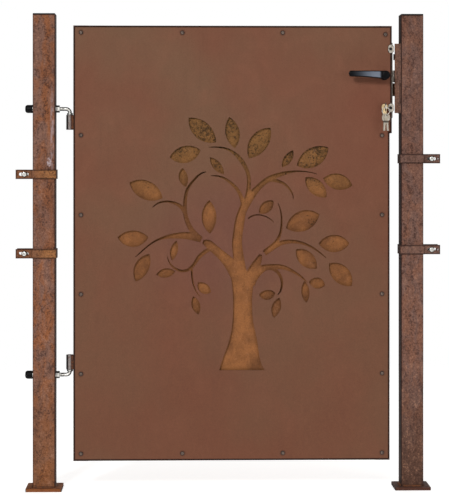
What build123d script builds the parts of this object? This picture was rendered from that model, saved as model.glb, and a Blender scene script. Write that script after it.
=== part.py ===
"""Single garden gate in weathering steel: two posts, a tree-cut leaf, hook hinges, lock and clamps.

Frame: millimetres, +Z up, Z = 0 on the ground, X = 0 midway between the posts, Y = 0 in the leaf's
middle plane. The decorated front faces -Y, the hinge post is at -X and the lock post at +X.
"""
import os
from math import hypot

from build123d import *

# Overall layout
GATE_WIDTH = 1050         # over the outer faces of the posts
GATE_HEIGHT = 1280        # ground to the top of the post caps
POST_SIZE = 60
POST_WALL = 3
POST_CORNER = 3
BASE_SIZE = 96
BASE_THICK = 8
BASE_HOLE_R = 4.5
BASE_HOLE_PITCH = 76
CAP_FLANGE = 3
CAP_PLUG_DEPTH = 14
CAP_PLUG_SLACK = 0.2

POST_OUTER_X = GATE_WIDTH / 2
POST_INNER_X = POST_OUTER_X - POST_SIZE
POST_CENTRE_X = POST_OUTER_X - POST_SIZE / 2
POST_HALF = POST_SIZE / 2
POST_TOP = GATE_HEIGHT - CAP_FLANGE

# Leaf frame and sheets
LEAF_LEFT = -417
LEAF_RIGHT = 435
LEAF_BOTTOM = 78
LEAF_TOP = 1248
TUBE = 40
TUBE_WALL = 2
PLATE = 2                 # thickness of the backing sheet and the end plates
SHEET_THICK = 3
SHEET_INSET = 1
SHEET_CORNER_R = 5
FRAME_FRONT_Y = -TUBE / 2
SHEET_FRONT_Y = FRAME_FRONT_Y - SHEET_THICK
BACKING_GAP = 6           # between the front sheet and the backing sheet
BACKING_FRONT_Y = FRAME_FRONT_Y + BACKING_GAP

# Lock box: the wider section at the top of the lock side
BOX_LEFT = 394
BOX_RIGHT = 441
BOX_BOTTOM = 959

# Sheet screws
SCREW_COLUMNS = (-396, -124, 146, 414)
SCREW_ROWS = (98, 312, 526, 739, 953, 1229)
BOX_SCREW = (423, 1225)   # the top screw of the lock side, clear of the lock
SCREW_HEAD_R = 5.25
SCREW_HEAD_H = 3.2
SCREW_SHANK_R = 2.9
SCREW_DEPTH = 14
INSERT_R = 4.5
INSERT_BORE_R = 3.0
INSERT_LENGTH = 12
SHEET_HOLE_R = 3.3

# Hook hinges
ROD_R = 5
BARREL_R = 10
BARREL_LENGTH = 40
BARREL_BORE_R = 5.06
HINGE_X = LEAF_LEFT - BARREL_R
HOOK_BEND_R = 10
HOOK_OUTER_X = -541
UPPER_ROD_Z = 1024
UPPER_BARREL_Z = 968
LOWER_ROD_Z = 308
LOWER_BARREL_Z = 322
ROD_HOLE_R = 5.4
NUT_FLATS = 17
NUT_THICK = 8.4
WASHER_R = 10.5
WASHER_THICK = 2
COLLAR_R = 8
COLLAR_THICK = 4.6
COLLAR_BORE_R = 5.1
CAP_R = 11
CAP_BORE_R = 9.85
CAP_LENGTH = 20
CAP_DOME_R = 7

# Fence clamps
CLAMP_Z = {"left": (848, 635), "right": (890, 645)}
STRAP_HEIGHT = 25
STRAP_THICK = 3
STRAP_BEND_R = 3.4
EAR_END_X = POST_OUTER_X + 46
EAR_Y = 22.5              # middle plane of each ear
SLOT_X = 551
SLOT_LENGTH = 30
SLOT_R = 4.5
CLAMP_BOLT_X = 548
CLAMP_BOLT_R = 4
CLAMP_HEAD_R = 7.5
CLAMP_HEAD_H = 4
CLAMP_NUT_FLATS = 13
CLAMP_NUT_THICK = 6.5
CLAMP_WASHER_R = 8
CLAMP_WASHER_THICK = 1.6

# Lock
HANDLE_X = 420
HANDLE_Z = 1114
HANDLE_REACH = 69         # outer face of each lever, from the leaf's middle plane
LEVER_THICK = 12
LEVER_TIP_X = 320
HUB_R = 11.5
ROSE_R = 12.5
ROSE_THICK = 5
SPINDLE = 8
SPINDLE_SLACK = 0.1
SPINDLE_HOLE_R = 7
FOLLOWER_R = 9
FOLLOWER_ARM_TOP = 16
RUNNING_GAP = 0.08
CASE_LEFT = 398.5
CASE_BOTTOM = 1004
CASE_TOP = 1197
CASE_HALF_Y = 8
CASE_WALL = 1.5
FACEPLATE_THICK = 3
FACEPLATE_BOTTOM = 1001
FACEPLATE_TOP = 1203
FACEPLATE_HALF_Y = 11
FACEPLATE_X = BOX_RIGHT + FACEPLATE_THICK
LUG_HEIGHTS = (1027, 1186)
LUG_X = 438
LUG_HALF_X = 8
LUG_HALF_Z = 12
LUG_THICK = 2.5
LUG_SCREW_X = 437
LUG_SCREW_R = 1.9
LUG_SCREW_HEAD_R = 4
LATCH_BOTTOM = 1097
LATCH_TOP = 1129
LATCH_THROW = 12
LATCH_HALF_Y = 6
DEADBOLT_BOTTOM = 1068
DEADBOLT_TOP = 1092
DEADBOLT_HALF_Y = 5
BOLT_SLACK = 0.15

# Cylinder and keys
PLUG_X = 421
PLUG_Z = 1029
PLUG_R = 5
PROFILE_R = 8.5
PROFILE_HALF_WIDTH = 5
PROFILE_DROP = 24.5
CYLINDER_HALF_Y = 28
CAM_HALF_Y = 4.8
CAM_REACH = 13.5
KEY_HOLE_Y = -52          # where the ring passes through the bow of the key in the lock
KEY_HOLE_R = 3.6
KEY_BLADE = 20
RING_R = 10
RING_WIRE_R = 1.1
RING_TOP_Z = PLUG_Z - 1.5
SPARE_KEY_TURN = 40       # how far the hanging keys face away from the front
SPARE_KEY_SPREAD = 2.1    # from the middle of the ring to the hole of each hanging key

# Keep on the lock post
KEEP_BOTTOM = 1013
KEEP_TOP = 1200
KEEP_EDGE_X = 448
KEEP_PLATE = 3
KEEP_HALF_Y = 22
KEEP_REAR_BOTTOM = 1060
KEEP_REAR_TOP = 1095
KEEP_REAR_Y = 9
KEEP_SCREW_HEIGHTS = (1035, 1178)

# The tree, in sheet coordinates: x from the sheet's left edge, z from its bottom edge.
# Each branch is a list of stations (x, z, width) along its middle line, root first.
TREE_BRANCHES = {
    "trunk": [(452, 242, 122), (452, 283, 94), (456, 325, 74), (455, 360, 59), (454, 413, 51),
              (454, 456, 54), (455, 499, 67)],
    "central limb": [(454, 474, 38), (447, 518, 31), (441, 561, 28), (439, 588, 27), (441, 609, 26),
                     (446, 642, 26), (453, 669, 23), (463, 690, 23), (477, 712, 22), (492, 729, 17),
                     (511, 747, 15), (530, 759, 15), (550, 767, 12), (567, 772, 10), (586, 776, 6),
                     (616, 777, 3), (654, 770, 1.6)],
    "upper branch": [(459, 685, 16), (468, 717, 12), (471, 744, 11), (469, 769, 10), (461, 790, 11),
                     (445, 813, 11), (430, 827, 8), (409, 838, 5.4), (387, 842, 3.5), (363, 842, 1.6)],
    "thin arc": [(457, 685, 13), (451, 706, 11), (442, 725, 9), (427, 742, 8), (403, 759, 5.7),
                 (369, 765, 1.6)],
    "left limb": [(449, 474, 40), (426, 521, 35), (402, 547, 26), (377, 569, 23), (360, 583, 21),
                  (347, 588, 9)],
    "outer left limb": [(343, 593, 15), (325, 601, 22), (307, 604, 20), (275, 604, 15), (247, 600, 9),
                        (223, 592, 5), (195, 573, 3.8), (166, 547, 1.6)],
    "left riser": [(337, 597, 16), (318, 618, 14), (304, 646, 12), (299, 669, 11), (299, 690, 10),
                   (301, 712, 9), (307, 732, 8), (320, 750, 6.5), (335, 766, 5), (356, 776, 1.6)],
    "left curl": [(300, 663, 12), (291, 679, 11), (277, 689, 8.6), (250, 696, 5.4), (228, 692, 4),
                  (212, 680, 1.6)],
    "lower curl": [(369, 569, 12), (352, 560, 11), (336, 546, 11), (324, 528, 9), (310, 514, 8.4),
                   (292, 509, 7), (274, 515, 5.7), (260, 528, 4), (252, 549, 1.6)],
    "left twig": [(317, 520, 5.4), (318, 496, 5), (323, 469, 3.8), (340, 440, 1.6)],
    "right stub": [(467, 474, 35), (481, 509, 27), (495, 535, 20), (503, 553, 8)],
    "right riser": [(513, 557, 15), (526, 568, 15), (539, 580, 12), (550, 596, 8.6), (557, 617, 6.5),
                    (559, 642, 5), (557, 669, 3.5), (549, 691, 1.6)],
    "right arm": [(513, 557, 15), (536, 572, 13), (557, 584, 13), (578, 588, 11), (600, 587, 9),
                  (623, 581, 6.7), (645, 570, 5), (679, 544, 1.6)],
    "lower right limb": [(473, 477, 32), (498, 511, 25), (516, 518, 17), (536, 520, 15),
                         (556, 520, 13), (577, 514, 10), (594, 505, 7.3), (612, 493, 5),
                         (628, 477, 1.6)],
    "lower right curl": [(529, 516, 10), (546, 508, 9), (556, 494, 7.8), (560, 477, 6.5),
                         (557, 458, 4.6), (548, 444, 1.6)],
    "upper right curl": [(524, 755, 12), (548, 751, 8.6), (565, 744, 6.5), (579, 731, 5),
                         (588, 717, 3.5), (590, 702, 1.6)],
    "fine twig": [(469, 650, 3.8), (494, 660, 3.2), (519, 654, 2.7), (538, 640, 1.9)],
}
# Each tree leaf is two arcs between its tips: (tip, tip, point on one arc, point on the other).
TREE_LEAVES = (
    ((309, 921), (383, 855), (362, 903), (324, 874)),
    ((418, 923), (433, 839), (445, 888), (407, 888)),
    ((258, 815), (341, 834), (302, 846), (297, 799)),
    ((366, 815), (404, 769), (393, 800), (373, 789)),
    ((292, 786), (302, 735), (307, 760), (282, 762)),
    ((150, 747), (239, 705), (201, 751), (178, 707)),
    ((364, 700), (366, 609), (383, 662), (344, 655)),
    ((118, 600), (201, 600), (157, 618), (163, 574)),
    ((203, 555), (167, 481), (165, 527), (205, 523)),
    ((276, 591), (264, 537), (259, 564), (280, 564)),
    ((222, 500), (273, 508), (245, 516), (245, 491)),
    ((334, 478), (369, 452), (354, 476), (344, 450)),
    ((321, 441), (335, 392), (317, 415), (340, 418)),
    ((529, 894), (471, 812), (482, 875), (517, 838)),
    ((590, 834), (560, 788), (564, 812), (587, 807)),
    ((685, 841), (600, 793), (629, 836), (667, 800)),
    ((671, 758), (750, 739), (710, 771), (712, 727)),
    ((623, 761), (680, 707), (667, 747), (634, 724)),
    ((537, 698), (499, 664), (509, 693), (529, 671)),
    ((661, 661), (571, 624), (612, 671), (623, 617)),
    ((659, 583), (742, 583), (699, 606), (703, 559)),
    ((598, 567), (654, 515), (641, 555), (612, 526)),
    ((687, 529), (748, 468), (739, 513), (701, 484)),
    ((633, 479), (676, 470), (654, 491), (654, 461)),
    ((621, 482), (626, 423), (612, 455), (634, 453)),
    ((498, 445), (542, 450), (520, 458), (520, 431)),
    ((553, 437), (538, 383), (532, 412), (558, 417)),
)


# Basic shapes

def block(x0, x1, y0, y1, z0, z1):
    """A box between two opposite corners."""
    centre = ((x0 + x1) / 2, (y0 + y1) / 2, (z0 + z1) / 2)
    return Pos(*centre) * Box(abs(x1 - x0), abs(y1 - y0), abs(z1 - z0))


def bar_x(radius, x0, x1, y, z):
    """A round bar along X."""
    return Pos((x0 + x1) / 2, y, z) * Rot(0, 90, 0) * Cylinder(radius, abs(x1 - x0))


def bar_y(radius, y0, y1, x, z):
    """A round bar along Y."""
    return Pos(x, (y0 + y1) / 2, z) * Rot(90, 0, 0) * Cylinder(radius, abs(y1 - y0))


def bar_z(radius, z0, z1, x, y):
    """A round bar along Z."""
    return Pos(x, y, (z0 + z1) / 2) * Cylinder(radius, abs(z1 - z0))


def hex_x(flats, x0, x1, z):
    """A hexagonal block along X, with a corner at the top."""
    prism = extrude(RegularPolygon(flats / 2, 6, major_radius=False), abs(x1 - x0))
    return Pos(min(x0, x1), 0, z) * Rot(0, 90, 0) * prism


def hex_y(flats, y0, y1, x, z):
    """A hexagonal block along Y."""
    prism = extrude(RegularPolygon(flats / 2, 6, major_radius=False), abs(y1 - y0))
    return Pos(x, max(y0, y1), z) * Rot(90, 0, 0) * prism


def plate_xz(outline, y0, y1):
    """A plate from a face drawn in X and Z, standing between two Y planes."""
    return Pos(0, max(y0, y1), 0) * Rot(90, 0, 0) * extrude(outline, abs(y1 - y0))


def export_node(name, *solids):
    """Write one node: a single solid, or a group of separate solids."""
    shape = solids[0] if len(solids) == 1 else Compound(children=[piece.solid() for piece in solids])
    shape.label = name
    export_step(shape, f"parts/{name}.step")


# Posts

def post_tube(centre_x):
    outer = block(centre_x - POST_HALF, centre_x + POST_HALF, -POST_HALF, POST_HALF,
                  BASE_THICK, POST_TOP)
    outer = fillet(outer.edges().filter_by(Axis.Z), POST_CORNER)
    bore = POST_HALF - POST_WALL
    return outer - block(centre_x - bore, centre_x + bore, -bore, bore, 0, GATE_HEIGHT)


def left_post():
    post = post_tube(-POST_CENTRE_X)
    for rod_z in (UPPER_ROD_Z, LOWER_ROD_Z):
        post -= bar_x(ROD_HOLE_R, -POST_OUTER_X - 5, -POST_INNER_X + 5, 0, rod_z)
    return post


def right_post():
    post = post_tube(POST_CENTRE_X)
    for screw_z in KEEP_SCREW_HEIGHTS:
        post -= bar_x(2.5, POST_INNER_X - 5, POST_INNER_X + 10, 0, screw_z)
    return post


def base_plate(centre_x):
    half = BASE_SIZE / 2
    plate = block(centre_x - half, centre_x + half, -half, half, 0, BASE_THICK)
    plate = fillet(plate.edges().filter_by(Axis.Z), POST_CORNER)
    reach = BASE_HOLE_PITCH / 2
    for side_x in (-reach, reach):
        for side_y in (-reach, reach):
            plate -= bar_z(BASE_HOLE_R, -1, BASE_THICK + 1, centre_x + side_x, side_y)
    return plate


def post_cap(centre_x):
    """Plastic cap: a flange on the tube's end and a hollow plug inside it."""
    flange = block(centre_x - POST_HALF, centre_x + POST_HALF, -POST_HALF, POST_HALF,
                   POST_TOP, GATE_HEIGHT)
    flange = fillet(flange.edges().filter_by(Axis.Z), POST_CORNER)
    flange = chamfer(flange.faces().sort_by(Axis.Z)[-1].edges(), 1)
    plug = POST_HALF - POST_WALL - CAP_PLUG_SLACK
    core = plug - 2.5
    skirt = block(centre_x - plug, centre_x + plug, -plug, plug, POST_TOP - CAP_PLUG_DEPTH, POST_TOP)
    skirt -= block(centre_x - core, centre_x + core, -core, core, POST_TOP - CAP_PLUG_DEPTH, POST_TOP)
    return flange + skirt


# Hook hinges

def hinge_hook(rod_z, end_z):
    """A rod along X through the post, bent through a right angle onto the hinge axis."""
    path = FilletPolyline((HOOK_OUTER_X, 0, rod_z), (HINGE_X, 0, rod_z), (HINGE_X, 0, end_z),
                          radius=HOOK_BEND_R)
    start = Plane(origin=(HOOK_OUTER_X, 0, rod_z), z_dir=(1, 0, 0))
    return sweep(start * Circle(ROD_R), path)


def hinge_nut(x0, x1, rod_z):
    nut = hex_x(NUT_FLATS, x0, x1, rod_z)
    return nut - bar_x(ROD_R, x0 - 1, x1 + 1, 0, rod_z)


def hinge_washer(x0, x1, rod_z):
    return bar_x(WASHER_R, x0, x1, 0, rod_z) - bar_x(ROD_R, x0 - 1, x1 + 1, 0, rod_z)


def hinge_collar(z0):
    """The loose ring on which the barrel turns."""
    ring = bar_z(COLLAR_R, z0, z0 + COLLAR_THICK, HINGE_X, 0)
    ring = chamfer(ring.edges().filter_by(GeomType.CIRCLE), 0.6)
    return ring - bar_z(COLLAR_BORE_R, z0 - 1, z0 + COLLAR_THICK + 1, HINGE_X, 0)


def hinge_cap(rod_z):
    """Domed cover over the outer nut."""
    inner_x = -POST_OUTER_X - WASHER_THICK - 0.2
    outer_x = inner_x - CAP_LENGTH
    cap = bar_x(CAP_R, outer_x, inner_x, 0, rod_z)
    cap = fillet(cap.faces().sort_by(Axis.X)[0].edges(), CAP_DOME_R)
    return cap - bar_x(CAP_BORE_R, outer_x + 5, inner_x + 1, 0, rod_z)


def hinge_barrel(z0):
    tube = bar_z(BARREL_R, z0, z0 + BARREL_LENGTH, HINGE_X, 0)
    tube = chamfer(tube.edges().filter_by(GeomType.CIRCLE), 0.8)
    return tube - bar_z(BARREL_BORE_R, z0 - 1, z0 + BARREL_LENGTH + 1, HINGE_X, 0)


def hinge_weld(z0, side):
    """One weld bead in the groove between a barrel and the leaf's edge."""
    bead = bar_z(3.4, z0 + 2, z0 + BARREL_LENGTH - 2, LEAF_LEFT - 2.2, side * 8.6)
    bead = fillet(bead.edges().filter_by(GeomType.CIRCLE), 1.4)
    bead -= bar_z(BARREL_R, z0, z0 + BARREL_LENGTH, HINGE_X, 0)
    return bead - block(LEAF_LEFT, LEAF_LEFT + 20, -20, 20, z0, z0 + BARREL_LENGTH)


# Fence clamps

def clamp_strap(side, z):
    """A flat strap bent round the post, ending in two slotted ears."""
    around = STRAP_THICK / 2
    inner_x = POST_INNER_X - around
    outer_x = POST_OUTER_X + around
    wrap_y = POST_HALF + around
    path = FilletPolyline((EAR_END_X, -EAR_Y), (outer_x, -EAR_Y), (outer_x, -wrap_y),
                          (inner_x, -wrap_y), (inner_x, wrap_y), (outer_x, wrap_y),
                          (outer_x, EAR_Y), (EAR_END_X, EAR_Y), radius=STRAP_BEND_R)
    start = Plane(origin=(EAR_END_X, -EAR_Y, 0), z_dir=(-1, 0, 0))
    strap = Pos(0, 0, z) * sweep(start * Rectangle(STRAP_HEIGHT, STRAP_THICK), path)
    half = SLOT_LENGTH / 2 - SLOT_R
    reach = EAR_Y + STRAP_THICK
    strap -= block(SLOT_X - half, SLOT_X + half, -reach, reach, z - SLOT_R, z + SLOT_R)
    for end_x in (SLOT_X - half, SLOT_X + half):
        strap -= bar_y(SLOT_R, -reach, reach, end_x, z)
    return strap if side > 0 else mirror(strap, about=Plane.YZ)


def clamp_bolt(x, z):
    """A domed bolt through both ears."""
    ear_front = -EAR_Y - STRAP_THICK / 2
    ear_rear = -ear_front
    head = bar_y(CLAMP_HEAD_R, ear_front - CLAMP_HEAD_H, ear_front, x, z)
    head = fillet(head.faces().sort_by(Axis.Y)[0].edges(), CLAMP_HEAD_H - 0.6)
    head -= hex_y(5, ear_front - CLAMP_HEAD_H - 1, ear_front - CLAMP_HEAD_H + 2.2, x, z)
    return head + bar_y(CLAMP_BOLT_R, ear_front, ear_rear + 10, x, z)


def clamp_washer(x, z):
    ear_rear = EAR_Y + STRAP_THICK / 2
    ring = bar_y(CLAMP_WASHER_R, ear_rear, ear_rear + CLAMP_WASHER_THICK, x, z)
    return ring - bar_y(CLAMP_BOLT_R, ear_rear - 1, ear_rear + 5, x, z)


def clamp_nut(x, z):
    seat = EAR_Y + STRAP_THICK / 2 + CLAMP_WASHER_THICK
    nut = hex_y(CLAMP_NUT_FLATS, seat, seat + CLAMP_NUT_THICK, x, z)
    return nut - bar_y(CLAMP_BOLT_R, seat - 1, seat + 10, x, z)


# Leaf frame

def square_tube(x0, x1, z0, z1, along_z):
    """A square frame tube, open at both ends."""
    half = TUBE / 2
    bore = half - TUBE_WALL
    tube = block(x0, x1, -half, half, z0, z1)
    tube = fillet(tube.edges().filter_by(Axis.Z if along_z else Axis.X), 2.5)
    if along_z:
        return tube - block(x0 + TUBE_WALL, x1 - TUBE_WALL, -bore, bore, z0, z1)
    return tube - block(x0, x1, -bore, bore, z0 + TUBE_WALL, z1 - TUBE_WALL)


def screw_places():
    """Middle points of the sheet screws: both side columns, and the top and bottom rows."""
    places = [(SCREW_COLUMNS[0], z) for z in SCREW_ROWS]
    places += [(SCREW_COLUMNS[-1], z) for z in SCREW_ROWS[:-1]] + [BOX_SCREW]
    places += [(x, z) for x in SCREW_COLUMNS[1:-1] for z in (SCREW_ROWS[0], SCREW_ROWS[-1])]
    return places


def drill_for_inserts(tube):
    box = tube.bounding_box()
    for x, z in screw_places():
        if box.min.X < x < box.max.X and box.min.Z < z < box.max.Z:
            tube -= bar_y(INSERT_R, FRAME_FRONT_Y - 1, FRAME_FRONT_Y + TUBE_WALL + 1, x, z)
    return tube


def left_stile():
    return drill_for_inserts(square_tube(LEAF_LEFT, LEAF_LEFT + TUBE, LEAF_BOTTOM + PLATE,
                                         LEAF_TOP - PLATE, True))


def right_stile():
    return drill_for_inserts(square_tube(LEAF_RIGHT - TUBE, LEAF_RIGHT, LEAF_BOTTOM + PLATE,
                                         BOX_BOTTOM, True))


def frame_rail(z0, right_x):
    return drill_for_inserts(square_tube(LEAF_LEFT + TUBE, right_x, z0, z0 + TUBE, False))


def end_plate(x0, z0):
    """A plate that closes an open end of a stile."""
    plate = block(x0, x0 + TUBE, -TUBE / 2, TUBE / 2, z0, z0 + PLATE)
    return fillet(plate.edges().filter_by(Axis.Z), 2.5)


def euro_profile(slack, y0, y1):
    """The keyhole-shaped bar of a profile cylinder, or its cut-out when slack is given."""
    half = PROFILE_HALF_WIDTH + slack
    low = PLUG_Z - PROFILE_DROP + PROFILE_HALF_WIDTH
    bar = bar_y(PROFILE_R + slack, y0, y1, PLUG_X, PLUG_Z)
    bar += block(PLUG_X - half, PLUG_X + half, y0, y1, low, PLUG_Z)
    return bar + bar_y(half, y0, y1, PLUG_X, low)


def lock_openings(solid, y0, y1):
    """Cut the spindle hole and the cylinder's opening through a wall."""
    solid -= bar_y(SPINDLE_HOLE_R, y0, y1, HANDLE_X, HANDLE_Z)
    return solid - euro_profile(0.4, y0, y1)


def lock_box():
    """Closed steel box that carries the lock: it takes the stile's place at the top."""
    half = TUBE / 2
    box = block(BOX_LEFT, BOX_RIGHT, -half, half, BOX_BOTTOM, LEAF_TOP)
    box = fillet(box.edges().filter_by(Axis.Z), 2.5)
    box -= block(BOX_LEFT + TUBE_WALL, BOX_RIGHT - TUBE_WALL, -half + TUBE_WALL, half - TUBE_WALL,
                 BOX_BOTTOM + TUBE_WALL, LEAF_TOP - TUBE_WALL)
    box -= block(BOX_RIGHT - 5, BOX_RIGHT + 1, -CASE_HALF_Y - 0.3, CASE_HALF_Y + 0.3,
                 CASE_BOTTOM - 0.5, CASE_TOP + 0.5)
    for lug_z in LUG_HEIGHTS:
        box -= bar_y(LUG_SCREW_R, -half - 1, -half + TUBE_WALL + 1, LUG_SCREW_X, lug_z)
    return drill_for_inserts(lock_openings(box, -half - 1, half + 1))


# Sheets

def sheet_outline(inset):
    """The sheet's outline: the lock side stands further out beside the lock box."""
    left = LEAF_LEFT + inset
    right = LEAF_RIGHT - inset
    box_right = BOX_RIGHT - inset
    low = LEAF_BOTTOM + inset
    top = LEAF_TOP - inset
    return Polyline((left, low), (right, low), (right, BOX_BOTTOM + inset),
                    (box_right, BOX_BOTTOM + inset), (box_right, top), (left, top), close=True)


def branch_outline(stations):
    """A tapering stroke: splines down both sides of its middle line."""
    sides = ([], [])
    for index, (x, z, width) in enumerate(stations):
        before = stations[max(index - 1, 0)]
        after = stations[min(index + 1, len(stations) - 1)]
        along = (after[0] - before[0], after[1] - before[1])
        length = hypot(*along)
        across = (-along[1] / length * width / 2, along[0] / length * width / 2)
        sides[0].append((x + across[0], z + across[1]))
        sides[1].append((x - across[0], z - across[1]))
    edges = [Spline(*sides[0]), Line(sides[0][-1], sides[1][-1]), Spline(*reversed(sides[1])),
             Line(sides[1][0], sides[0][0])]
    return make_face(Wire(edges))


def leaf_outline(tip_a, tip_b, side_a, side_b):
    return make_face(Wire([ThreePointArc(tip_a, side_a, tip_b), ThreePointArc(tip_b, side_b, tip_a)]))


def front_sheet():
    """Laser-cut sheet with the tree."""
    sheet = plate_xz(make_face(sheet_outline(SHEET_INSET)), SHEET_FRONT_Y, FRAME_FRONT_Y)
    upright = sheet.edges().filter_by(Axis.Y)
    top = LEAF_TOP - SHEET_INSET
    sheet = fillet([edge for edge in upright if edge.center().Z > top - 1], SHEET_CORNER_R)
    cuts = [branch_outline(stations) for stations in TREE_BRANCHES.values()]
    cuts += [leaf_outline(*points) for points in TREE_LEAVES]
    left = LEAF_LEFT + SHEET_INSET
    low = LEAF_BOTTOM + SHEET_INSET
    for cut in cuts:
        sheet -= Pos(left, 0, low) * plate_xz(cut, SHEET_FRONT_Y - 1, FRAME_FRONT_Y + 1)
    for x, z in screw_places():
        sheet -= bar_y(SHEET_HOLE_R, SHEET_FRONT_Y - 1, FRAME_FRONT_Y + 1, x, z)
    for lug_z in LUG_HEIGHTS:
        sheet -= bar_y(LUG_SCREW_R, SHEET_FRONT_Y - 1, FRAME_FRONT_Y + 1, LUG_SCREW_X, lug_z)
    return lock_openings(sheet, SHEET_FRONT_Y - 1, FRAME_FRONT_Y + 1)


def backing_sheet():
    """Plain sheet let into the frame's opening, a little way behind the front sheet."""
    return block(LEAF_LEFT + TUBE, BOX_LEFT, BACKING_FRONT_Y, BACKING_FRONT_Y + PLATE,
                 LEAF_BOTTOM + TUBE, LEAF_TOP - TUBE)


def sheet_screw(x, z):
    """Button-head screw with a hexagonal recess."""
    top_y = SHEET_FRONT_Y - SCREW_HEAD_H
    head = bar_y(SCREW_HEAD_R, top_y, SHEET_FRONT_Y, x, z)
    head = fillet(head.faces().sort_by(Axis.Y)[0].edges(), SCREW_HEAD_H - 0.5)
    head -= hex_y(4, top_y - 1, top_y + 1.8, x, z)
    return head + bar_y(SCREW_SHANK_R, SHEET_FRONT_Y, SHEET_FRONT_Y + SCREW_DEPTH, x, z)


def threaded_insert(x, z):
    sleeve = bar_y(INSERT_R, FRAME_FRONT_Y, FRAME_FRONT_Y + INSERT_LENGTH, x, z)
    return sleeve - bar_y(INSERT_BORE_R, FRAME_FRONT_Y - 1, FRAME_FRONT_Y + INSERT_LENGTH + 1, x, z)


# Lock

def case_outline_cuts(solid):
    """Holes shared by both sides of the lock case."""
    reach = CASE_HALF_Y + 1
    solid -= bar_y(FOLLOWER_R + RUNNING_GAP, -reach, reach, HANDLE_X, HANDLE_Z)
    return solid - euro_profile(0.3, -reach, reach)


def bolt_window(bottom, top, half_y, x0, x1):
    """The opening that guides a bolt through the case edge or the faceplate."""
    return block(x0, x1, -half_y - BOLT_SLACK, half_y + BOLT_SLACK, bottom - BOLT_SLACK,
                 top + BOLT_SLACK)


def bolt_windows(solid, x0, x1):
    solid -= bolt_window(LATCH_BOTTOM, LATCH_TOP, LATCH_HALF_Y, x0, x1)
    return solid - bolt_window(DEADBOLT_BOTTOM, DEADBOLT_TOP, DEADBOLT_HALF_Y, x0, x1)


CYLINDER_SCREW_Z = PLUG_Z - PROFILE_DROP + PROFILE_HALF_WIDTH


def lock_case():
    """Open tray that holds the lock's works."""
    tray = block(CASE_LEFT, BOX_RIGHT, -CASE_HALF_Y + CASE_WALL, CASE_HALF_Y, CASE_BOTTOM, CASE_TOP)
    tray -= block(CASE_LEFT + CASE_WALL, BOX_RIGHT - CASE_WALL, -CASE_HALF_Y,
                  CASE_HALF_Y - CASE_WALL, CASE_BOTTOM + CASE_WALL, CASE_TOP - CASE_WALL)
    tray -= bar_x(2.6, BOX_RIGHT - 5, BOX_RIGHT + 1, 0, CYLINDER_SCREW_Z)
    return bolt_windows(case_outline_cuts(tray), BOX_RIGHT - 5, BOX_RIGHT + 1)


def lock_case_cover():
    cover = block(CASE_LEFT, BOX_RIGHT, -CASE_HALF_Y, -CASE_HALF_Y + CASE_WALL, CASE_BOTTOM, CASE_TOP)
    return case_outline_cuts(cover)


def faceplate_lug(lug_z):
    """Rounded eye in front of the leaf, with its neck back to the faceplate."""
    front = SHEET_FRONT_Y - LUG_THICK
    eye = Pos(LUG_X, 0) * SlotOverall(2 * LUG_HALF_Z, 2 * LUG_HALF_X, rotation=90)
    eye = Pos(0, 0, lug_z) * plate_xz(eye, front, SHEET_FRONT_Y - 0.05)
    eye = chamfer(eye.faces().sort_by(Axis.Y)[0].edges(), 0.7)
    neck = block(BOX_RIGHT, FACEPLATE_X, SHEET_FRONT_Y - 0.05, -FACEPLATE_HALF_Y, lug_z - 7, lug_z + 7)
    return eye + neck - bar_y(LUG_SCREW_R, front - 1, FRAME_FRONT_Y, LUG_SCREW_X, lug_z)


def lock_faceplate():
    """Zinc strip over the edge of the lock, with two fixing eyes on the front."""
    plate = block(BOX_RIGHT, FACEPLATE_X, -FACEPLATE_HALF_Y, FACEPLATE_HALF_Y, FACEPLATE_BOTTOM,
                  FACEPLATE_TOP)
    plate = fillet(plate.edges().filter_by(Axis.X), 3)
    plate = bolt_windows(plate, BOX_RIGHT - 1, FACEPLATE_X + 1)
    plate -= bar_x(2.6, BOX_RIGHT - 1, FACEPLATE_X + 1, 0, CYLINDER_SCREW_Z)
    plate -= bar_x(4.5, FACEPLATE_X - 2, FACEPLATE_X + 1, 0, CYLINDER_SCREW_Z)
    for lug_z in LUG_HEIGHTS:
        plate += faceplate_lug(lug_z)
    return plate


def faceplate_screw(lug_z):
    """Black socket screw through an eye into the lock box."""
    seat = SHEET_FRONT_Y - LUG_THICK
    head = bar_y(LUG_SCREW_HEAD_R, seat - 3, seat, LUG_SCREW_X, lug_z)
    head = chamfer(head.faces().sort_by(Axis.Y)[0].edges(), 0.5)
    head -= hex_y(3, seat - 4, seat - 1.2, LUG_SCREW_X, lug_z)
    return head + bar_y(LUG_SCREW_R, seat, FRAME_FRONT_Y + 5, LUG_SCREW_X, lug_z)


def follower():
    """Hub turned by the spindle, with an arm that pulls the latch back."""
    reach = CASE_HALF_Y + 0.2
    hub = bar_y(FOLLOWER_R, -reach, reach, HANDLE_X, HANDLE_Z)
    hub += block(HANDLE_X - 2.5, HANDLE_X + 2.5, -2.5, 2.5, HANDLE_Z, HANDLE_Z + FOLLOWER_ARM_TOP)
    half = SPINDLE / 2 + SPINDLE_SLACK
    return hub - block(HANDLE_X - half, HANDLE_X + half, -reach - 1, reach + 1, HANDLE_Z - half,
                       HANDLE_Z + half)


def latch_bolt():
    """Bevelled head, and a tail that passes over the follower to a tab behind its arm."""
    tip = FACEPLATE_X + LATCH_THROW
    head = block(BOX_RIGHT + 1, tip, -LATCH_HALF_Y, LATCH_HALF_Y, LATCH_BOTTOM, LATCH_TOP)
    nose = head.edges().filter_by(Axis.Z).sort_by(Axis.X)[-2:].sort_by(Axis.Y)[0]
    head = chamfer(nose, 7, 8)
    tail = block(413, BOX_RIGHT + 1, 3, LATCH_HALF_Y, LATCH_TOP - 5, LATCH_TOP)
    tab = block(413, 417.2, -LATCH_HALF_Y, LATCH_HALF_Y, LATCH_TOP - 5, LATCH_TOP + 4)
    return head + tail + tab


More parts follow.
